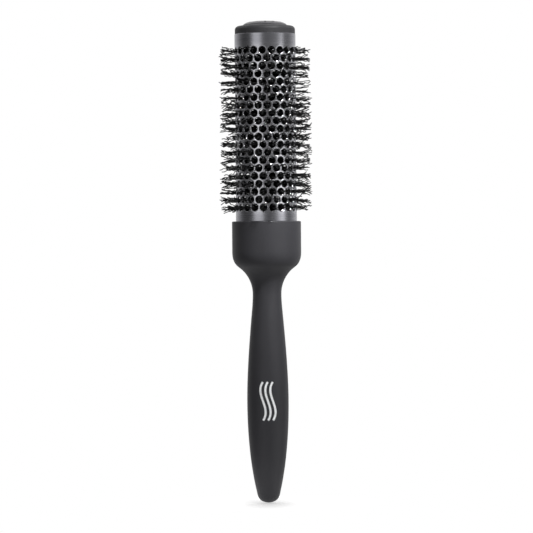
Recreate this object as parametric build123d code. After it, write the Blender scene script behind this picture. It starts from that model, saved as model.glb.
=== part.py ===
from build123d import *
import math
import os

# A round thermal styling brush, upright on its handle's axis. +Z runs from the handle to the end cap,
# and -Y is the front, where the mark is printed. Millimetres. Heights are measured up from the handle's
# tip, and every piece is lowered by ORIGIN_HEIGHT when it is written, so that the origin is at the middle
# of the collar's straight band.

# How far a cutting shape runs past the surface that it cuts through
OVERSHOOT = 1.0

# Handle
SKIN_THICKNESS = 1.1
NECK_RADIUS = 7.52
NECK_HEIGHT = 109.5
FLARE_RADIUS = 17.2
FLARE_HEIGHT = 123.5
COLLAR_RADIUS = 18.1
COLLAR_BASE = 131.2
COLLAR_TOP = 147.5
COLLAR_EDGE_RADIUS = 0.5
ORIGIN_HEIGHT = (COLLAR_BASE + COLLAR_TOP - COLLAR_EDGE_RADIUS) / 2
CORE_BORE_TOP = 118.0
CORE_BORE_TOP_RADIUS = 4.2
CORE_BORE_BOTTOM = 24.0
CORE_BORE_BOTTOM_RADIUS = 3.0
# The grip between its tip and its neck: height, radius, and the surface's lean from upright in degrees.
GRIP_STATIONS = [
    (0.75, 3.3, 63),
    (2.4, 5.15, 33),
    (6.6, 6.38, 13.5),
    (17.0, 8.36, 9),
    (32.8, 10.14, 4.5),
    (53.8, 10.88, 0),
    (74.8, 10.1, -3.5),
    (95.7, 8.48, -5),
]

# Barrel
BARREL_RADIUS = 16.0
BARREL_WALL = 0.8
BARREL_BASE = 134.0
BARREL_TOP = 245.65
POCKET_RADIUS = 16.05
ROW_COUNT = 21
HOLES_PER_ROW = 21
HOLE_RADIUS = 1.9
HOLE_FIELD_CENTRE = 195.6
ROW_PITCH = 4.1
FIRST_HOLE_AZIMUTH = -95.3
HOLE_STEP = 360 / HOLES_PER_ROW

# Bristles: each tuft has three filaments, whose ends are (across, up) from the tuft's middle.
FILAMENT_RADIUS = 0.21
BRISTLE_REACH = 23.5
ROOT_RING_INNER = 1.75
ROOT_RING_OUTER = 2.6
ROOT_RING_HEIGHT = 1.7
FILAMENT_ROOT = 2.15
FILAMENT_ROOTS = [(-0.1, 0.5), (0.1, 0.0), (0.0, -0.5)]
FILAMENT_TIPS = [(-1.5, 1.0), (1.5, 0.6), (0.2, -1.6)]

# Twisted wires, a left-handed pair
WIRE_RADIUS = 0.85
WIRE_HELIX_RADIUS = 0.86
WIRE_PITCH = 12.8
WIRE_BASE = 126.5
WIRE_TOP = 246.0

# Crimped ferrules on the wires' ends
FERRULE_INNER = 1.75
FERRULE_OUTER = 2.9
FERRULE_LENGTH = 8.0
FERRULE_CHAMFER = 0.4

# Base plug between the barrel and the handle's core
PLUG_RADIUS = 15.15
PLUG_TOP = 141.0
PLUG_PLATE = 2.4
PLUG_WALL = 1.8
PLUG_SPIGOT_RADIUS = 6.0
PLUG_SPIGOT_BASE = 126.0

# End cap
CAP_RADIUS = 15.8
CAP_SIDE_HEIGHT = 2.2
CAP_SHOULDER_RADIUS = 2.1
CAP_RIM_HEIGHT = 250.4
CAP_LEDGE = 1.4
CAP_SKIRT_BASE = 239.6
CAP_SKIRT_WALL = 1.5
CAP_OPENING_RADIUS = 10.6
CAP_HUB_RADIUS = 4.6
CAP_SPOKES = 6
CAP_SPOKE_WIDTH = 1.8
CAP_SPOKE_BASE = 241.0
CAP_SPOKE_TOP = 245.0
CAP_SOCKET_TOP = 246.5
CAP_HUB_TOP = 248.2

# Vent dome in the cap
DOME_RADIUS = 11.3
DOME_EDGE_HEIGHT = 0.3
DOME_FLAT_RADIUS = 8.2
DOME_TOP = 252.65
DOME_CROWN_RADIUS = 60.0
DOME_THICKNESS = 1.3
DOME_SKIRT_DEPTH = 2.4
DOME_SKIRT_WALL = 0.9
DOME_SLOTS = 12
DOME_SLOT_WIDTH = 1.2
DOME_LONG_SLOT_INNER = 1.9
DOME_SHORT_SLOT_INNER = 4.4
DOME_SLOT_OUTER = 9.6

# Printed mark: three wavy strands running up the grip
MARK_CENTRE_HEIGHT = 53.5
MARK_LENGTH = 20.0
MARK_STROKE = 1.1
MARK_SPACING = 2.6
MARK_SWING = 1.3
MARK_INK = 0.06


def disc(radius, base, top):
    return Pos(0, 0, base) * Cylinder(radius, top - base, align=(Align.CENTER, Align.CENTER, Align.MIN))


def ring(outer, inner, base, top):
    return disc(outer, base, top) - disc(inner, base - OVERSHOOT, top + OVERSHOOT)


def turned(lines):
    """The solid turned about the Z axis from an outline drawn as (radius, height)."""
    return revolve(Plane.XZ * make_face(lines), Axis.Z)


def handle_outline(inset):
    """The handle's outer line, drawn in by an inset, from the tip up to the foot of the collar's side."""
    stations = [(0, inset)]
    headings = [(1, 0)]
    for height, radius, lean in GRIP_STATIONS:
        turn = math.radians(lean)
        stations.append((radius - inset * math.cos(turn), height + inset * math.sin(turn)))
        headings.append((math.sin(turn), math.cos(turn)))
    neck = (NECK_RADIUS - inset, NECK_HEIGHT)
    flare_turn = math.asin((FLARE_HEIGHT - NECK_HEIGHT) / FLARE_RADIUS)
    flare_reach = FLARE_RADIUS + inset

    def on_flare(turn):
        across = NECK_RADIUS + FLARE_RADIUS - flare_reach * math.cos(turn)
        return (across, NECK_HEIGHT + flare_reach * math.sin(turn))

    flare_end = on_flare(flare_turn)
    flare_heading = (math.sin(flare_turn), math.cos(flare_turn))
    grip = Spline([*stations, neck], tangents=[*headings, (0, 1)])
    flare = ThreePointArc(neck, on_flare(flare_turn / 2), flare_end)
    shoulder = Spline([flare_end, (COLLAR_RADIUS - inset, COLLAR_BASE)], tangents=[flare_heading, (0, 1)])
    return [grip, flare, shoulder]


def handle_form(inset):
    """The handle's solid outer form, drawn in by an inset all over."""
    radius = COLLAR_RADIUS - inset
    top = COLLAR_TOP - inset
    side = Line((radius, COLLAR_BASE), (radius, top))
    lid = Line((radius, top), (0, top))
    return turned([*handle_outline(inset), side, lid, Line((0, top), (0, inset))])


def grip_skin():
    """The soft rubber overmould, which rolls over the core's top edge in to the barrel."""
    inner_radius = COLLAR_RADIUS - SKIN_THICKNESS
    inner_top = COLLAR_TOP - SKIN_THICKNESS
    edge_base = COLLAR_TOP - COLLAR_EDGE_RADIUS
    edge_inner = COLLAR_RADIUS - COLLAR_EDGE_RADIUS
    bend = COLLAR_EDGE_RADIUS * math.sin(math.radians(45))
    edge_middle = (edge_inner + bend, edge_base + bend)
    outline = [
        *handle_outline(0),
        Line((COLLAR_RADIUS, COLLAR_BASE), (COLLAR_RADIUS, edge_base)),
        ThreePointArc((COLLAR_RADIUS, edge_base), edge_middle, (edge_inner, COLLAR_TOP)),
        Line((edge_inner, COLLAR_TOP), (POCKET_RADIUS, COLLAR_TOP)),
        Line((POCKET_RADIUS, COLLAR_TOP), (POCKET_RADIUS, inner_top)),
        Line((POCKET_RADIUS, inner_top), (inner_radius, inner_top)),
        Line((inner_radius, inner_top), (inner_radius, COLLAR_BASE)),
        *handle_outline(SKIN_THICKNESS),
        Line((0, SKIN_THICKNESS), (0, 0)),
    ]
    return turned(outline)


def handle_core():
    """The hard core: the barrel's pocket, the plug's socket, and a tapered moulding bore down the grip."""
    core = handle_form(SKIN_THICKNESS)
    core -= disc(POCKET_RADIUS, BARREL_BASE, COLLAR_TOP + OVERSHOOT)
    core -= disc(PLUG_SPIGOT_RADIUS, PLUG_SPIGOT_BASE, BARREL_BASE + OVERSHOOT)
    core -= disc(FERRULE_OUTER, CORE_BORE_TOP - OVERSHOOT, PLUG_SPIGOT_BASE + OVERSHOOT)
    bore = Cone(
        CORE_BORE_BOTTOM_RADIUS,
        CORE_BORE_TOP_RADIUS,
        CORE_BORE_TOP - CORE_BORE_BOTTOM,
        align=(Align.CENTER, Align.CENTER, Align.MIN),
    )
    core -= Pos(0, 0, CORE_BORE_BOTTOM) * bore
    return core


def barrel_base_plug():
    """A cup-shaped bulkhead pressed into the barrel, with a spigot down into the core."""
    plug = disc(PLUG_RADIUS, BARREL_BASE, PLUG_TOP)
    plug -= ring(PLUG_RADIUS - PLUG_WALL, PLUG_SPIGOT_RADIUS, BARREL_BASE - OVERSHOOT, PLUG_TOP - PLUG_PLATE)
    plug += disc(PLUG_SPIGOT_RADIUS, PLUG_SPIGOT_BASE, PLUG_TOP)
    plug -= disc(FERRULE_OUTER, PLUG_SPIGOT_BASE - OVERSHOOT, PLUG_SPIGOT_BASE + FERRULE_LENGTH)
    plug -= disc(FERRULE_INNER, PLUG_SPIGOT_BASE, PLUG_TOP + OVERSHOOT)
    return plug


def row_height(row):
    """The height of a row of holes, counted from 0 at the cap's end."""
    return HOLE_FIELD_CENTRE + ((ROW_COUNT - 1) / 2 - row) * ROW_PITCH


def hole_azimuth(row, hole):
    """Each row is turned by half a step from the one before."""
    return FIRST_HOLE_AZIMUTH + (hole + 0.5 * (row % 2)) * HOLE_STEP


def barrel_tube():
    """The thin aluminium barrel with its staggered round holes."""
    tube = ring(BARREL_RADIUS, BARREL_RADIUS - BARREL_WALL, BARREL_BASE, BARREL_TOP)
    wall_middle = BARREL_RADIUS - BARREL_WALL / 2
    punch = Pos(wall_middle, 0, 0) * Rotation(0, 90, 0) * Cylinder(HOLE_RADIUS, 4 * BARREL_WALL)
    punches = []
    for row in range(ROW_COUNT):
        for hole in range(HOLES_PER_ROW):
            punches.append(Pos(0, 0, row_height(row)) * Rotation(0, 0, hole_azimuth(row, hole)) * punch)
    return tube.cut(*punches)


def filament(root, tip):
    """A straight round filament, in a tuft that points along +X."""
    start = Vector(FILAMENT_ROOT, *root)
    run = Vector(BRISTLE_REACH, *tip) - start
    strand = Cylinder(FILAMENT_RADIUS, run.length, align=(Align.CENTER, Align.CENTER, Align.MIN))
    return Plane(origin=start, z_dir=run) * strand


def bristle_ring():
    """One row of tufts about its root ring, which stands for the filaments' folded middles in the wires."""
    roots = ring(ROOT_RING_OUTER, ROOT_RING_INNER, -ROOT_RING_HEIGHT / 2, ROOT_RING_HEIGHT / 2)
    strands = []
    for tuft in range(HOLES_PER_ROW):
        turn = Rotation(0, 0, tuft * HOLE_STEP)
        for root, tip in zip(FILAMENT_ROOTS, FILAMENT_TIPS):
            strands.append(turn * filament(root, tip))
    return roots.fuse(*strands)


def core_wire(start_turn):
    """One steel wire of the twisted pair."""
    helix = Helix(WIRE_PITCH, WIRE_TOP - WIRE_BASE, WIRE_HELIX_RADIUS, lefthand=True)
    section = Plane(origin=helix @ 0, z_dir=helix % 0) * Circle(WIRE_RADIUS)
    return Pos(0, 0, WIRE_BASE) * Rotation(0, 0, start_turn) * sweep(section, helix, is_frenet=True)


def ferrule(base):
    """A crimped sleeve with chamfered outer edges."""
    sleeve = ring(FERRULE_OUTER, FERRULE_INNER, base, base + FERRULE_LENGTH)
    middle = (FERRULE_INNER + FERRULE_OUTER) / 2
    rims = [edge for edge in sleeve.edges().filter_by(GeomType.CIRCLE) if edge.radius > middle]
    return chamfer(rims, FERRULE_CHAMFER)


def end_cap():
    """The cap: a rounded rim over the barrel's end, a skirt inside it, and a spoked hub for the wires."""
    side_top = BARREL_TOP + CAP_SIDE_HEIGHT
    shoulder_inner = CAP_RADIUS - CAP_SHOULDER_RADIUS
    shoulder = (shoulder_inner, side_top + CAP_SHOULDER_RADIUS)
    bend = CAP_SHOULDER_RADIUS * math.sin(math.radians(45))
    shoulder_middle = (shoulder_inner + bend, side_top + bend)
    inner = PLUG_RADIUS - CAP_SKIRT_WALL
    under_rim = BARREL_TOP + CAP_LEDGE
    rim = [
        Line((PLUG_RADIUS, BARREL_TOP), (CAP_RADIUS, BARREL_TOP)),
        Line((CAP_RADIUS, BARREL_TOP), (CAP_RADIUS, side_top)),
        ThreePointArc((CAP_RADIUS, side_top), shoulder_middle, shoulder),
        Line(shoulder, (DOME_RADIUS, CAP_RIM_HEIGHT)),
        Line((DOME_RADIUS, CAP_RIM_HEIGHT), (CAP_OPENING_RADIUS, CAP_RIM_HEIGHT)),
        Line((CAP_OPENING_RADIUS, CAP_RIM_HEIGHT), (CAP_OPENING_RADIUS, under_rim)),
        Line((CAP_OPENING_RADIUS, under_rim), (inner, under_rim)),
        Line((inner, under_rim), (inner, CAP_SKIRT_BASE)),
        Line((inner, CAP_SKIRT_BASE), (PLUG_RADIUS, CAP_SKIRT_BASE)),
        Line((PLUG_RADIUS, CAP_SKIRT_BASE), (PLUG_RADIUS, BARREL_TOP)),
    ]
    cap = turned(rim)
    cap += disc(CAP_HUB_RADIUS, CAP_SKIRT_BASE, CAP_HUB_TOP)
    reach = inner + CAP_SKIRT_WALL / 2
    spoke = Pos(0, -CAP_SPOKE_WIDTH / 2, CAP_SPOKE_BASE) * Box(
        reach, CAP_SPOKE_WIDTH, CAP_SPOKE_TOP - CAP_SPOKE_BASE, align=Align.MIN
    )
    for index in range(CAP_SPOKES):
        cap += Rotation(0, 0, index * 360 / CAP_SPOKES) * spoke
    return cap - disc(FERRULE_OUTER, CAP_SKIRT_BASE - OVERSHOOT, CAP_SOCKET_TOP)


def crown_height(radius):
    """The height of the dome's outer surface at a radius."""
    return DOME_TOP - DOME_CROWN_RADIUS + math.sqrt(DOME_CROWN_RADIUS**2 - radius**2)


def crown_arc(outer_radius, drop):
    """An arc from the axis out to a radius, a drop below the dome's outer surface."""
    stops = [outer_radius * share for share in (0, 0.5, 1)]
    return ThreePointArc(*[(radius, crown_height(radius) - drop) for radius in stops])


def vent_dome():
    """A shallow dome with long and short slots by turns, and a skirt that snaps into the cap's opening."""
    skirt_outer = CAP_OPENING_RADIUS
    skirt_inner = CAP_OPENING_RADIUS - DOME_SKIRT_WALL
    skirt_base = CAP_RIM_HEIGHT - DOME_SKIRT_DEPTH
    crown = crown_arc(DOME_FLAT_RADIUS, 0)
    hollow = crown_arc(skirt_inner, DOME_THICKNESS)
    edge_top = (DOME_RADIUS, CAP_RIM_HEIGHT + DOME_EDGE_HEIGHT)
    outline = [
        crown,
        TangentArc(crown @ 1, edge_top, tangent=crown % 1),
        Line(edge_top, (DOME_RADIUS, CAP_RIM_HEIGHT)),
        Line((DOME_RADIUS, CAP_RIM_HEIGHT), (skirt_outer, CAP_RIM_HEIGHT)),
        Line((skirt_outer, CAP_RIM_HEIGHT), (skirt_outer, skirt_base)),
        Line((skirt_outer, skirt_base), (skirt_inner, skirt_base)),
        Line((skirt_inner, skirt_base), hollow @ 1),
        hollow,
        Line(hollow @ 0, crown @ 0),
    ]
    dome = turned(outline)
    for index in range(DOME_SLOTS):
        inner = DOME_SHORT_SLOT_INNER if index % 2 else DOME_LONG_SLOT_INNER
        slot = extrude(SlotOverall(DOME_SLOT_OUTER - inner, DOME_SLOT_WIDTH), DOME_TOP - skirt_base)
        slot = Pos((inner + DOME_SLOT_OUTER) / 2, 0, skirt_base) * slot
        dome -= Rotation(0, 0, -90 + index * 360 / DOME_SLOTS) * slot
    return dome


def printed_mark():
    """Three wavy strands of ink on the front of the grip."""
    half = MARK_LENGTH / 2
    ink = None
    front = Plane((0, 0, MARK_CENTRE_HEIGHT), x_dir=(1, 0, 0), z_dir=(0, -1, 0))
    for lane in (-1, 0, 1):
        offset = lane * MARK_SPACING
        swings = [offset, offset + MARK_SWING, offset, offset - MARK_SWING, offset]
        points = [(x, -half + index * half / 2) for index, x in enumerate(swings)]
        strand = trace(Spline(points), MARK_STROKE)
        solid = extrude(front * strand, COLLAR_RADIUS)
        ink = solid if ink is None else ink + solid
    ink &= handle_form(-MARK_INK)
    ink -= handle_form(0)
    return ink


def write(name, shape):
    """Lowers a piece so that the origin is at the collar's middle, and writes it."""
    placed = Pos(0, 0, -ORIGIN_HEIGHT) * shape
    placed.label = name
    export_step(placed, f"parts/{name}.step")


def main():
    os.makedirs("parts", exist_ok=True)
    write("grip_skin", grip_skin())
    write("handle_core", handle_core())
    write("barrel_base_plug", barrel_base_plug())
    write("barrel_tube", barrel_tube())
    write("core_wire_a", core_wire(0))
    write("core_wire_b", core_wire(180))
    write("wire_ferrule_bottom", ferrule(PLUG_SPIGOT_BASE))
    write("wire_ferrule_top", ferrule(CAP_SOCKET_TOP - FERRULE_LENGTH))
    write("end_cap", end_cap())
    write("vent_dome", vent_dome())
    write("printed_mark", printed_mark())
    tufts = bristle_ring()
    for row in range(ROW_COUNT):
        placed = Pos(0, 0, row_height(row)) * Rotation(0, 0, hole_azimuth(row, 0)) * tufts
        write(f"bristle_row_{row + 1:02d}", placed)


main()
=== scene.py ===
import math
import random

import bpy
import numpy as np
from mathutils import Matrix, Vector, noise


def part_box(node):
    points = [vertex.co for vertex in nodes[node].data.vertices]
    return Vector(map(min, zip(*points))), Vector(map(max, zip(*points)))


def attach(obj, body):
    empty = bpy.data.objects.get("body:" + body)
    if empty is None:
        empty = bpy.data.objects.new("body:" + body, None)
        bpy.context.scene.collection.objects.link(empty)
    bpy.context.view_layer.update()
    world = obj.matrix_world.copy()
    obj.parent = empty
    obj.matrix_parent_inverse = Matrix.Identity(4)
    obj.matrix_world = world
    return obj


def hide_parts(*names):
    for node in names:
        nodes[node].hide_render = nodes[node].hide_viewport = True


# A round thermal brush, upright, with +Z towards its end cap and -Y its printed front.
# All lengths are in metres.
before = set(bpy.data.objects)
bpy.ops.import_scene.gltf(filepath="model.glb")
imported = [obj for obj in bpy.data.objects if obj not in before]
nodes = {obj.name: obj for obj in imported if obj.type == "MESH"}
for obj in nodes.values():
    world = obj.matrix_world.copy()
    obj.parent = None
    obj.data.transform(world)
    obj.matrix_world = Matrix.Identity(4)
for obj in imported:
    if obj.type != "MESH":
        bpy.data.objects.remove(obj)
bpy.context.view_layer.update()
MM = 0.001
SAME_PLACE = 0.0001 * MM

# Places taken from the frame
TIP_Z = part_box("grip_skin")[0].z
BARREL_BOTTOM_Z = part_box("barrel_tube")[0].z
BARREL_TOP_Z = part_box("barrel_tube")[1].z
BARREL_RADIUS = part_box("barrel_tube")[1].x

# The barrel's perforated wall
BARREL_WALL = 0.8 * MM
ROW_COUNT = 21
HOLES_PER_ROW = 21
HOLE_RADIUS = 1.9 * MM
HOLE_PITCH = 2 * math.pi * BARREL_RADIUS / HOLES_PER_ROW
HOLE_STEP = 2 * math.pi / HOLES_PER_ROW
ROW_PITCH = 4.1 * MM
FIRST_ROW_Z = BARREL_TOP_Z - 9.05 * MM
FIRST_HOLE_AZIMUTH = math.radians(-95.3)
LIP_RADIUS = 0.28 * MM
LIP_STEPS = 3
INNER_CHAMFER = 0.1 * MM
END_CHAMFER = 0.12 * MM
SHARP_WALL_ANGLE = 40

# The six-sided cell round each hole: how far its peaks and its side corners are above its middle
CELL_PEAK = ROW_PITCH * 2 / 3
CELL_SIDE = ROW_PITCH / 3
POINTS_PER_SIDE = 4

# Crimped nylon filaments
FILAMENT_RADIUS = 0.235 * MM
FILAMENT_SIDES = 6
FILAMENT_ROOT = 1.2 * MM
FILAMENT_REACH = 23.5 * MM
REACH_SPREAD = 0.45 * MM
ROOT_ACROSS = 0.7 * MM
ROOT_UP = 1.5 * MM
COARSE_STATION = 1.0 * MM
FINE_STATION = 0.38 * MM
FINE_FROM = BARREL_RADIUS - 1.5 * MM
CRIMP_LENGTH = 2.9 * MM
CRIMP_SWING = 0.27 * MM
CRIMP_FADE_IN = 4 * MM
CURL = 0.75
SHARP_END_ANGLE = 50

# How filaments gather into clumps and lean, as slopes
CLUMP_COUNTS = (0, 1, 1, 2, 2, 2, 2, 2, 2, 2)
FILAMENTS_PER_CLUMP = (2, 2, 2, 3)
CLUMP_ACROSS = 0.75 * MM
CLUMP_DOWN = 0.8 * MM
CLUMP_UP = 0.7 * MM
CROSSING_SPREAD = 0.36 * MM
WIDEST_CROSSING = 1.35 * MM
FIELD_LEAN_ACROSS = 0.24
FIELD_LEAN_UP = 0.36
CLUMP_LEAN_SPREAD = 0.14
FILAMENT_LEAN_SPREAD = 0.11
MOST_LEAN = 0.34

# Short filaments that end inside the barrel
STRAYS_PER_HOLE = 5
STRAY_SHORTEST = 12.5 * MM
STRAY_LONGEST = 14.6 * MM
STRAY_FREE_SECTOR = 0.34
SEED = 57

# The picture
CAMERA_DISTANCE = 1.94
CAMERA_X = -0.18 * MM
CAMERA_Z = TIP_Z + 123.8 * MM
CAMERA_ROLL = 0.48
SENSOR_WIDTH = 36
VIEW_WIDTH = 279.6 * MM
BARREL_AIM_Z = TIP_Z + 168 * MM
FLOOR_Z = TIP_Z - 0.25 * MM
FLOOR_RADII = (0.0005, 0.02, 0.04, 0.06)
FLOOR_SIDES = 96
# The floor's painted shadow: where its glow starts to rise from the tip, and how much narrower it is across
# than forwards
PAINTED_SHADOW_START = 0.008
PAINTED_SHADOW_NARROWING = 3.2


# ---------------------------------------------------------------- materials


class NodeTree:
    """Short helpers for a material's or a world's node tree."""

    def __init__(self, owner):
        owner.use_nodes = True
        self.nodes = owner.node_tree.nodes
        self.links = owner.node_tree.links

    def maths(self, operation, a, b):
        """One sum on two values, each of which is a number or a socket."""
        node = self.nodes.new("ShaderNodeMath")
        node.operation = operation
        for socket, value in zip(node.inputs, (a, b)):
            if isinstance(value, (int, float)):
                socket.default_value = value
            else:
                self.links.new(value, socket)
        return node.outputs["Value"]

    def product(self, a, b):
        return self.maths("MULTIPLY", a, b)

    def total(self, a, b):
        return self.maths("ADD", a, b)

    def remap(self, value, start, end, low, high, easing="LINEAR"):
        """Takes a value from the range start to end onto low to high, and no further."""
        node = self.nodes.new("ShaderNodeMapRange")
        node.interpolation_type = easing
        node.inputs["From Min"].default_value = start
        node.inputs["From Max"].default_value = end
        node.inputs["To Min"].default_value = low
        node.inputs["To Max"].default_value = high
        self.links.new(value, node.inputs["Value"])
        return node.outputs["Result"]


class Shader(NodeTree):
    """A Principled material."""

    def __init__(self, name, roughness, metallic=0.0, specular=0.5):
        self.material = bpy.data.materials.new(name)
        super().__init__(self.material)
        self.surface = self.nodes["Principled BSDF"]
        self.constant("Roughness", roughness)
        self.constant("Metallic", metallic)
        self.constant("Specular IOR Level", specular)
        self.coordinates = self.nodes.new("ShaderNodeTexCoord").outputs["Object"]

    def constant(self, socket, value):
        self.surface.inputs[socket].default_value = value

    def stretched(self, scale):
        """Object coordinates scaled along each axis."""
        mapping = self.nodes.new("ShaderNodeMapping")
        mapping.inputs["Scale"].default_value = scale
        self.links.new(self.coordinates, mapping.inputs["Vector"])
        return mapping.outputs["Vector"]

    def noise(self, scale, detail=3.0, rough=0.55):
        """Noise between 0 and 1 with features per metre along X, Y and Z."""
        texture = self.nodes.new("ShaderNodeTexNoise")
        texture.inputs["Scale"].default_value = 1.0
        texture.inputs["Detail"].default_value = detail
        texture.inputs["Roughness"].default_value = rough
        self.links.new(self.stretched(scale), texture.inputs["Vector"])
        return texture.outputs["Fac"]

    def spread(self, value, low, high):
        """Takes noise, most of which is between 0.3 and 0.7, onto low to high."""
        return self.remap(value, 0.3, 0.7, low, high)

    def colour(self, value, dark, light, start=0.3, end=0.7):
        """Base colour between two shades, by a value."""
        ramp = self.nodes.new("ShaderNodeValToRGB")
        ramp.color_ramp.elements[0].position = start
        ramp.color_ramp.elements[0].color = (*dark, 1)
        ramp.color_ramp.elements[1].position = end
        ramp.color_ramp.elements[1].color = (*light, 1)
        self.links.new(value, ramp.inputs["Fac"])
        self.links.new(ramp.outputs["Color"], self.surface.inputs["Base Color"])

    def roughness(self, value):
        self.links.new(value, self.surface.inputs["Roughness"])

    def bump(self, value, height, strength=1.0):
        """Adds relief of a height in metres, on top of any relief that is there."""
        node = self.nodes.new("ShaderNodeBump")
        node.inputs["Distance"].default_value = height
        node.inputs["Strength"].default_value = strength
        self.links.new(value, node.inputs["Height"])
        socket = self.surface.inputs["Normal"]
        if socket.links:
            self.links.new(socket.links[0].from_socket, node.inputs["Normal"])
        self.links.new(node.outputs["Normal"], socket)

    def round_and_round(self):
        """Turns anisotropic highlights round the Z axis."""
        tangent = self.nodes.new("ShaderNodeTangent")
        tangent.direction_type = "RADIAL"
        tangent.axis = "Z"
        self.links.new(tangent.outputs["Tangent"], self.surface.inputs["Tangent"])


def soft_touch_rubber():
    """Charcoal soft-touch coating: velvety, with a very fine grain and slightly polished patches."""
    shader = Shader("soft_touch_rubber", 0.55, specular=0.42)
    patches = shader.noise((55, 55, 30), detail=4)
    shader.colour(patches, (0.0225, 0.0222, 0.0262), (0.0280, 0.0276, 0.0325))
    shader.roughness(shader.spread(patches, 0.60, 0.52))
    shader.bump(shader.noise((5200, 5200, 5200), detail=2), 0.006 * MM)
    shader.bump(shader.noise((900, 900, 900), detail=2), 0.004 * MM)
    shader.constant("Sheen Weight", 0.02)
    shader.constant("Sheen Roughness", 0.4)
    return shader.material


def brushed_gunmetal():
    """Satin anodised aluminium, brushed round and round, with painted light between the rows of holes: a
    lighter colour and a little less roughness over the perforated zone.
    """
    shader = Shader("brushed_gunmetal", 0.3, metallic=1.0)
    rings = shader.noise((60, 60, 9000), detail=5, rough=0.7)
    bands = shader.noise((40, 40, 900), detail=3)
    place = shader.nodes.new("ShaderNodeSeparateXYZ")
    shader.links.new(shader.coordinates, place.inputs["Vector"])
    height = place.outputs["Z"]
    last_row_z = row_z(ROW_COUNT - 1)
    # Painted light: over the perforated zone, from the first row to the last, the colour is lightened to
    # stand in for the light that the bristles' shade takes from the webs. The roughness there is lowered a
    # little.
    above = shader.remap(height, last_row_z - ROW_PITCH, last_row_z, 0, 1)
    below = shader.remap(height, FIRST_ROW_Z + ROW_PITCH, FIRST_ROW_Z, 0, 1)
    painted_light_zone = shader.product(above, below)
    shade = shader.total(shader.spread(bands, 0, 0.25), shader.product(painted_light_zone, 0.75))
    shader.colour(shade, (0.320, 0.320, 0.348), (0.515, 0.515, 0.545), start=0, end=1)
    shader.roughness(shader.total(shader.spread(rings, 0.24, 0.32), shader.product(painted_light_zone, -0.05)))
    shader.bump(rings, 0.0035 * MM, 0.8)
    shader.constant("Anisotropic", 0.35)
    shader.round_and_round()
    return shader.material


def moulded_plastic(name, dark, light, roughness, grain):
    """Matte moulded plastic with a spark-eroded texture."""
    shader = Shader(name, roughness, specular=0.35)
    patches = shader.noise((120, 120, 120), detail=3)
    shader.colour(patches, dark, light)
    shader.roughness(shader.spread(patches, roughness + 0.05, roughness - 0.05))
    shader.bump(shader.noise((3500, 3500, 3500), detail=3), grain)
    return shader.material


def black_plastic():
    return moulded_plastic("black_plastic", (0.020, 0.020, 0.021), (0.030, 0.030, 0.031), 0.5, 0.006 * MM)


def cap_plastic():
    return moulded_plastic("cap_plastic", (0.026, 0.0255, 0.028), (0.032, 0.0315, 0.035), 0.62, 0.006 * MM)


def vent_plastic():
    return moulded_plastic("vent_plastic", (0.060, 0.058, 0.063), (0.075, 0.072, 0.078), 0.34, 0.003 * MM)


def drawn_steel():
    """Bright drawn wire with fine die lines and a few dull spots."""
    shader = Shader("drawn_steel", 0.2, metallic=1.0)
    lines = shader.noise((2600, 2600, 120), detail=3)
    shader.colour(lines, (0.80, 0.80, 0.81), (0.92, 0.92, 0.93))
    shader.roughness(shader.spread(shader.noise((300, 300, 300)), 0.26, 0.4))
    shader.bump(lines, 0.004 * MM)
    return shader.material


def crimped_nylon():
    """Black nylon, a little duller where the crimping rolls marked it."""
    shader = Shader("crimped_nylon", 0.4, specular=0.3)
    marks = shader.noise((700, 700, 700), detail=2)
    shader.colour(marks, (0.0010, 0.0010, 0.0011), (0.0022, 0.0022, 0.0024))
    shader.roughness(shader.spread(marks, 0.35, 0.5))
    shader.bump(shader.noise((4200, 4200, 4200), detail=2), 0.004 * MM)
    return shader.material


def pad_print_ink():
    """Off-white ink with the slight mottling of a pad print."""
    shader = Shader("pad_print_ink", 0.42, specular=0.4)
    mottle = shader.noise((1300, 1300, 1300), detail=4)
    shader.colour(mottle, (0.80, 0.81, 0.82), (0.93, 0.94, 0.95))
    shader.roughness(shader.spread(mottle, 0.36, 0.5))
    shader.bump(mottle, 0.004 * MM)
    return shader.material


def dress(node, material):
    """Gives a CAD node its finished material."""
    slots = nodes[node].material_slots
    for slot in slots:
        slot.material = material
    if not slots:
        nodes[node].data.materials.append(material)


def dress_cad_pieces():
    dress("grip_skin", soft_touch_rubber())
    dress("printed_mark", pad_print_ink())
    dress("end_cap", cap_plastic())
    dress("vent_dome", vent_plastic())
    plastic = black_plastic()
    for name in ("handle_core", "barrel_base_plug"):
        dress(name, plastic)
    steel = drawn_steel()
    for name in ("core_wire_a", "core_wire_b", "wire_ferrule_bottom", "wire_ferrule_top"):
        dress(name, steel)


# ---------------------------------------------------------------- mesh helpers


class Surface:
    """Collects points and faces, joining points that fall in the same place."""

    def __init__(self):
        self.points = []
        self.faces = []
        self.places = {}

    def point(self, where):
        key = tuple(round(value / SAME_PLACE) for value in where)
        if key not in self.places:
            self.places[key] = len(self.points)
            self.points.append(where)
        return self.places[key]

    def strips(self, rings):
        """Quads between each closed ring of points and the next."""
        indices = [[self.point(where) for where in ring] for ring in rings]
        count = len(indices[0])
        for lower, upper in zip(indices, indices[1:]):
            for i in range(count):
                j = (i + 1) % count
                self.faces.append((lower[i], lower[j], upper[j], upper[i]))

    def build(self, name, material, sharp_angle=None):
        mesh = bpy.data.meshes.new(name)
        mesh.from_pydata(self.points, [], self.faces)
        mesh.validate()
        for polygon in mesh.polygons:
            polygon.use_smooth = True
        if sharp_angle is not None:
            mesh.set_sharp_from_angle(angle=math.radians(sharp_angle))
        mesh.materials.append(material)
        piece = bpy.data.objects.new(name, mesh)
        bpy.context.scene.collection.objects.link(piece)
        return piece


def row_z(row):
    """The height of a row of holes, counted from the top."""
    return FIRST_ROW_Z - row * ROW_PITCH


def hole_azimuth(row, hole):
    """The azimuth of a hole, with every other row half a step further round."""
    return FIRST_HOLE_AZIMUTH + (hole + 0.5 * (row % 2)) * HOLE_STEP


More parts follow.
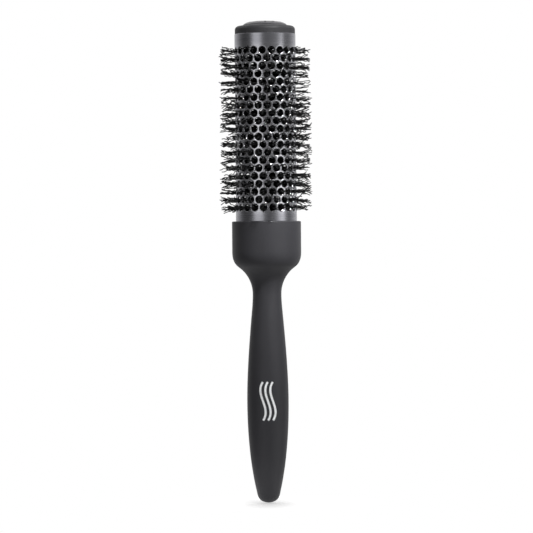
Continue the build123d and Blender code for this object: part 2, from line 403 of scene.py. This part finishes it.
def on_barrel(azimuth, along, z, depth):
    """A point at a depth under the barrel's outside, a distance along its circumference from an azimuth."""
    radius = BARREL_RADIUS - depth
    turn = azimuth + along / BARREL_RADIUS
    return (radius * math.cos(turn), radius * math.sin(turn), z)


# ---------------------------------------------------------------- barrel


def cell_outline():
    """The six-sided cell round one hole, anticlockwise from its top, as (along, up)."""
    half = HOLE_PITCH / 2
    corners = [
        (0, CELL_PEAK),
        (-half, CELL_SIDE),
        (-half, -CELL_SIDE),
        (0, -CELL_PEAK),
        (half, -CELL_SIDE),
        (half, CELL_SIDE),
    ]
    outline = []
    for (x0, y0), (x1, y1) in zip(corners, corners[1:] + corners[:1]):
        for step in range(POINTS_PER_SIDE):
            share = step / POINTS_PER_SIDE
            outline.append((x0 + (x1 - x0) * share, y0 + (y1 - y0) * share))
    return outline


def hole_rings():
    """The hole's section as (radius, depth): a rounded outer lip, the wall, and a small inner chamfer."""
    rings = []
    for step in range(LIP_STEPS + 1):
        turn = math.radians(90) * step / LIP_STEPS
        rings.append((HOLE_RADIUS + LIP_RADIUS * (1 - math.sin(turn)), LIP_RADIUS * (1 - math.cos(turn))))
    rings.append((HOLE_RADIUS, BARREL_WALL - INNER_CHAMFER))
    rings.append((HOLE_RADIUS + INNER_CHAMFER, BARREL_WALL))
    return rings


def perforated_cell(surface, azimuth, z, outline, rings):
    """One hole with the wall round it, out to the cell's edge."""
    directions = [Vector(point).normalized() for point in outline]
    loops = [[on_barrel(azimuth, along, z + up, 0) for along, up in outline]]
    for radius, depth in rings:
        loops.append([on_barrel(azimuth, radius * way.x, z + radius * way.y, depth) for way in directions])
    loops.append([on_barrel(azimuth, along, z + up, BARREL_WALL) for along, up in outline])
    surface.strips(loops)


def plain_end(surface, row, upward, end_z):
    """The bare band from the last cells to one end, outside and inside, with chamfered edges."""
    columns = []
    steps = 2 * POINTS_PER_SIDE
    for hole in range(HOLES_PER_ROW):
        for step in range(steps):
            along = HOLE_PITCH * (step / steps - 0.5)
            rise = CELL_PEAK - (CELL_PEAK - CELL_SIDE) * abs(step / POINTS_PER_SIDE - 1)
            columns.append((hole_azimuth(row, hole), along, row_z(row) + upward * rise))

    def level(z, depth):
        return [on_barrel(azimuth, along, z, depth) for azimuth, along, _ in columns]

    def cell_edge(depth):
        return [on_barrel(azimuth, along, edge_z, depth) for azimuth, along, edge_z in columns]

    band_z = row_z(row) + upward * ROW_PITCH
    inset_z = end_z - upward * END_CHAMFER
    loops = [
        cell_edge(0),
        level(band_z, 0),
        level(inset_z, 0),
        level(end_z, END_CHAMFER),
        level(end_z, BARREL_WALL - END_CHAMFER),
        level(inset_z, BARREL_WALL),
        level(band_z, BARREL_WALL),
        cell_edge(BARREL_WALL),
    ]
    surface.strips(loops if upward > 0 else loops[::-1])


def perforated_barrel():
    """The barrel with a rounded lip at every hole, as drawn metal has."""
    surface = Surface()
    outline = cell_outline()
    rings = hole_rings()
    for row in range(ROW_COUNT):
        for hole in range(HOLES_PER_ROW):
            perforated_cell(surface, hole_azimuth(row, hole), row_z(row), outline, rings)
    plain_end(surface, 0, 1, BARREL_TOP_Z)
    plain_end(surface, ROW_COUNT - 1, -1, BARREL_BOTTOM_Z)
    barrel = surface.build("barrel_shell", brushed_gunmetal(), SHARP_WALL_ANGLE)
    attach(barrel, "root")
    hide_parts("barrel_tube")


# ---------------------------------------------------------------- bristles


def field(row, azimuth, channel):
    """A smooth random value over the barrel, so that neighbouring tufts lean alike."""
    turn_rate = 2.6
    row_rate = 0.55
    channel_gap = 20.0
    where = Vector((
        turn_rate * math.cos(azimuth),
        turn_rate * math.sin(azimuth),
        row_rate * row + channel_gap * channel,
    ))
    return noise.noise(where)


def crimp(rng, outward):
    """The crimp's wave along a filament, as offsets across and up, growing from nothing at the wires."""
    phase = rng.uniform(0, 2 * math.pi)
    plane = rng.uniform(0, math.pi)
    length = CRIMP_LENGTH * rng.uniform(0.88, 1.15)
    swing = CRIMP_SWING * rng.uniform(0.6, 1.25)
    wave = swing * np.sin(2 * math.pi * outward / length + phase)
    wave *= np.clip((outward - FILAMENT_ROOT) / CRIMP_FADE_IN, 0, 1)
    return wave * math.cos(plane), wave * math.sin(plane)


def filament_line(rng, crossing, slope, reach):
    """Stations along one filament as (outward, across, up), from the wires to its tip.

    It runs straight to where it crosses the barrel's wall and bends from there towards its own slope.
    """
    inside = np.arange(FILAMENT_ROOT, min(reach, FINE_FROM), COARSE_STATION)
    outside = np.arange(FINE_FROM, reach, FINE_STATION)
    outward = np.concatenate([inside, outside, [reach]])
    root = (rng.uniform(-ROOT_ACROSS, ROOT_ACROSS), rng.uniform(-ROOT_UP, ROOT_UP))
    waves = crimp(rng, outward)
    beyond = np.maximum(outward - BARREL_RADIUS, 0)
    sides = []
    for axis in range(2):
        entry = (crossing[axis] - root[axis]) / (BARREL_RADIUS - FILAMENT_ROOT)
        bend = (slope[axis] - entry) / (FILAMENT_REACH - BARREL_RADIUS)
        straight = crossing[axis] + entry * (outward - BARREL_RADIUS)
        sides.append(straight + bend * beyond**2 * CURL + waves[axis])
    return np.stack([outward, sides[0], sides[1]], axis=1)


def tube(line, radius, sides):
    """Points of a round tube along a line."""
    heading = np.gradient(line, axis=0)
    heading /= np.linalg.norm(heading, axis=1)[:, None]
    left = np.cross([0.0, 0.0, 1.0], heading)
    left /= np.linalg.norm(left, axis=1)[:, None]
    up = np.cross(heading, left)
    turns = np.linspace(0, 2 * math.pi, sides, endpoint=False)
    ring = left[:, None] * np.cos(turns)[None, :, None] + up[:, None] * np.sin(turns)[None, :, None]
    return (line[:, None] + ring * radius).reshape(-1, 3)


def tube_faces(first, stations, sides):
    """Faces of a closed tube whose points start at an index."""
    faces = [tuple(first + i for i in reversed(range(sides)))]
    for station in range(stations - 1):
        base = first + station * sides
        for i in range(sides):
            j = (i + 1) % sides
            faces.append((base + i, base + j, base + sides + j, base + sides + i))
    last = first + (stations - 1) * sides
    faces.append(tuple(last + i for i in range(sides)))
    return faces


def clump(rng, lean):
    """A few filaments that leave a hole close together, each as (crossing, slope, reach)."""
    gather = (rng.uniform(-CLUMP_ACROSS, CLUMP_ACROSS), rng.uniform(-CLUMP_DOWN, CLUMP_UP))
    shared = [value + rng.gauss(0, CLUMP_LEAN_SPREAD) for value in lean]
    filaments = []
    for _ in range(rng.choice(FILAMENTS_PER_CLUMP)):
        crossing = Vector([value + rng.gauss(0, CROSSING_SPREAD) for value in gather])
        if crossing.length > WIDEST_CROSSING:
            crossing *= WIDEST_CROSSING / crossing.length
        slope = [value + rng.gauss(0, FILAMENT_LEAN_SPREAD) for value in shared]
        slope = [max(-MOST_LEAN, min(MOST_LEAN, value)) for value in slope]
        filaments.append((crossing, slope, FILAMENT_REACH + rng.gauss(0, REACH_SPREAD)))
    return filaments


def strays(rng, azimuth):
    """Short filaments that end behind the wall. The front and back sectors have none, to stay open."""
    if abs(math.cos(azimuth)) <= STRAY_FREE_SECTOR:
        return []
    filaments = []
    for _ in range(STRAYS_PER_HOLE):
        crossing = (rng.uniform(-0.5, 0.5) * HOLE_PITCH, rng.uniform(-0.5, 0.5) * ROW_PITCH)
        filaments.append((crossing, (0, 0), rng.uniform(STRAY_SHORTEST, STRAY_LONGEST)))
    return filaments


def tuft(rng, row, azimuth):
    """Lines of the filaments of one hole: none, one or two clumps, and the strays."""
    lean = (FIELD_LEAN_ACROSS * field(row, azimuth, 1), FIELD_LEAN_UP * field(row, azimuth, 2))
    filaments = []
    for _ in range(rng.choice(CLUMP_COUNTS)):
        filaments.extend(clump(rng, lean))
    filaments.extend(strays(rng, azimuth))
    out = np.array([math.cos(azimuth), math.sin(azimuth), 0.0])
    across = np.array([-math.sin(azimuth), math.cos(azimuth), 0.0])
    lines = []
    for crossing, slope, reach in filaments:
        stations = filament_line(rng, crossing, slope, reach)
        line = stations[:, :1] * out + stations[:, 1:2] * across
        line[:, 2] = row_z(row) + stations[:, 2]
        lines.append(line)
    return lines


def bristle_row(row, material):
    """One ring of tufts, which stands for the row's CAD solid."""
    rng = random.Random(SEED + row)
    surface = Surface()
    for hole in range(HOLES_PER_ROW):
        for line in tuft(rng, row, hole_azimuth(row, hole)):
            surface.faces.extend(tube_faces(len(surface.points), len(line), FILAMENT_SIDES))
            surface.points.extend(tube(line, FILAMENT_RADIUS, FILAMENT_SIDES).tolist())
    piece = surface.build(f"bristles_{row + 1:02d}", material, SHARP_END_ANGLE)
    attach(piece, "root")
    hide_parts(f"bristle_row_{row + 1:02d}")


# ---------------------------------------------------------------- studio


def white_floor():
    """A plain pale floor just under the tip that glows, with a painted soft shadow that reaches forwards:
    the glow is weaker round the tip.
    """
    surface = Surface()
    turns = [2 * math.pi * i / FLOOR_SIDES for i in range(FLOOR_SIDES)]
    rings = []
    for radius in FLOOR_RADII:
        rings.append([(radius * math.cos(turn), radius * math.sin(turn), FLOOR_Z) for turn in turns])
    surface.strips(rings[::-1])
    surface.faces.append(tuple(surface.point(where) for where in rings[0]))
    shader = Shader("studio_floor", 0.8, specular=0.1)
    shader.constant("Base Color", (0.42, 0.415, 0.415, 1))
    shader.constant("Emission Color", (1, 1, 1, 1))
    # Painted shadow: the glow is weakest in a narrow ellipse round the tip and rises to full at the floor's
    # rim.
    distance = shader.nodes.new("ShaderNodeVectorMath")
    distance.operation = "LENGTH"
    shader.links.new(shader.stretched((PAINTED_SHADOW_NARROWING, 1, 0)), distance.inputs[0])
    glow_with_painted_shadow = shader.remap(distance.outputs["Value"], PAINTED_SHADOW_START, FLOOR_RADII[-1], 0.52, 0.86)
    shader.links.new(glow_with_painted_shadow, shader.surface.inputs["Emission Strength"])
    surface.build("studio_floor", shader.material)


def hang_lamp(name, data, azimuth, z, distance, aim_z):
    """Hangs a lamp at an azimuth from the front, positive to the right, facing a height on the axis."""
    lamp = bpy.data.objects.new(name, data)
    turn = math.radians(azimuth)
    lamp.location = (distance * math.sin(turn), -distance * math.cos(turn), z)
    aim = Vector((0, 0, aim_z)) - Vector(lamp.location)
    lamp.rotation_euler = aim.to_track_quat("-Z", "Z").to_euler()
    bpy.context.scene.collection.objects.link(lamp)
    return lamp


def softbox(name, azimuth, z, distance, width, height, power):
    """A rectangular light, level with the point it faces and hidden from the camera."""
    data = bpy.data.lights.new(name, "AREA")
    data.shape = "RECTANGLE"
    data.size = width
    data.size_y = height
    data.energy = power
    lamp = hang_lamp(name, data, azimuth, z, distance, z)
    lamp.visible_camera = False


def barrel_light(azimuth, z, distance, power):
    """A small light from high in front, fanned out only over the cap, the barrel and the collar."""
    data = bpy.data.lights.new("barrel_light", "SPOT")
    data.energy = power
    data.spot_size = math.radians(12.5)
    data.spot_blend = 0.6
    data.shadow_soft_size = 0.06
    hang_lamp("barrel_light", data, azimuth, z, distance, BARREL_AIM_Z)


class Sky(NodeTree):
    """The room as light: brightness by direction, and plain white where the camera looks past the object."""

    def __init__(self):
        world = bpy.data.worlds.new("studio")
        bpy.context.scene.world = world
        super().__init__(world)
        self.nodes.clear()
        way = self.nodes.new("ShaderNodeTexCoord").outputs["Generated"]
        split = self.nodes.new("ShaderNodeSeparateXYZ")
        self.links.new(way, split.inputs["Vector"])
        self.x, self.y, self.z = split.outputs

    def ramp(self, value, start, end, low, high):
        """Smoothly from low at start to high at end."""
        return self.remap(value, start, end, low, high, "SMOOTHSTEP")

    def white(self):
        light = self.nodes.new("ShaderNodeBackground")
        light.inputs["Color"].default_value = (1, 1, 1, 1)
        return light

    def finish(self, brightness):
        room = self.white()
        self.links.new(brightness, room.inputs["Strength"])
        backdrop = self.white()
        rays = self.nodes.new("ShaderNodeLightPath")
        mix = self.nodes.new("ShaderNodeMixShader")
        output = self.nodes.new("ShaderNodeOutputWorld")
        self.links.new(rays.outputs["Is Camera Ray"], mix.inputs["Fac"])
        self.links.new(room.outputs["Background"], mix.inputs[1])
        self.links.new(backdrop.outputs["Background"], mix.inputs[2])
        self.links.new(mix.outputs["Shader"], output.inputs["Surface"])


def studio_sky():
    """A white wall behind the brush, and a little light from the upper left, the upper back and below."""
    sky = Sky()
    wall = sky.ramp(sky.y, 0.0, 1.0, 0.0, 0.75)
    right = sky.ramp(sky.x, -0.6, 0.8, 0.0, 0.12)
    walls = sky.total(sky.total(wall, right), 0.08)
    walls = sky.product(walls, sky.ramp(sky.z, -0.5, 0.1, 0.45, 1.0))
    upper_left = sky.product(sky.ramp(sky.x, 0.0, -0.8, 0.0, 0.3), sky.ramp(sky.z, 0.15, 0.6, 0.0, 1.0))
    upper_back = sky.product(sky.ramp(sky.z, 0.15, 0.6, 0.0, 0.5), sky.ramp(sky.y, -0.3, 0.4, 0.0, 1.0))
    below = sky.ramp(sky.z, -0.15, -0.7, 0.0, 0.35)
    fill = sky.total(sky.total(upper_back, upper_left), below)
    sky.finish(sky.total(walls, fill))


def light_studio():
    studio_sky()
    softbox("softbox_left", -29, CAMERA_Z + 0.02, distance=1.3, width=0.72, height=1.0, power=2.55)
    softbox("softbox_right", 58, CAMERA_Z - 0.2, distance=1.2, width=0.66, height=0.8, power=2.6)
    barrel_light(38, CAMERA_Z + 0.55, distance=0.5, power=50)
    bpy.context.scene.view_settings.view_transform = "Standard"


def make_camera():
    """A long lens level with the brush's middle, as in a catalogue picture."""
    data = bpy.data.cameras.new("camera")
    data.sensor_width = SENSOR_WIDTH
    data.lens = SENSOR_WIDTH * CAMERA_DISTANCE / VIEW_WIDTH
    data.clip_start = 0.1
    data.clip_end = 20
    camera = bpy.data.objects.new("camera", data)
    camera.location = (CAMERA_X, -CAMERA_DISTANCE, CAMERA_Z)
    camera.rotation_euler = (math.radians(90), math.radians(CAMERA_ROLL), 0)
    bpy.context.scene.collection.objects.link(camera)
    bpy.context.scene.camera = camera


# ---------------------------------------------------------------- assembly

make_camera()
light_studio()
white_floor()
dress_cad_pieces()
perforated_barrel()
nylon = crimped_nylon()
for row in range(ROW_COUNT):
    bristle_row(row, nylon)
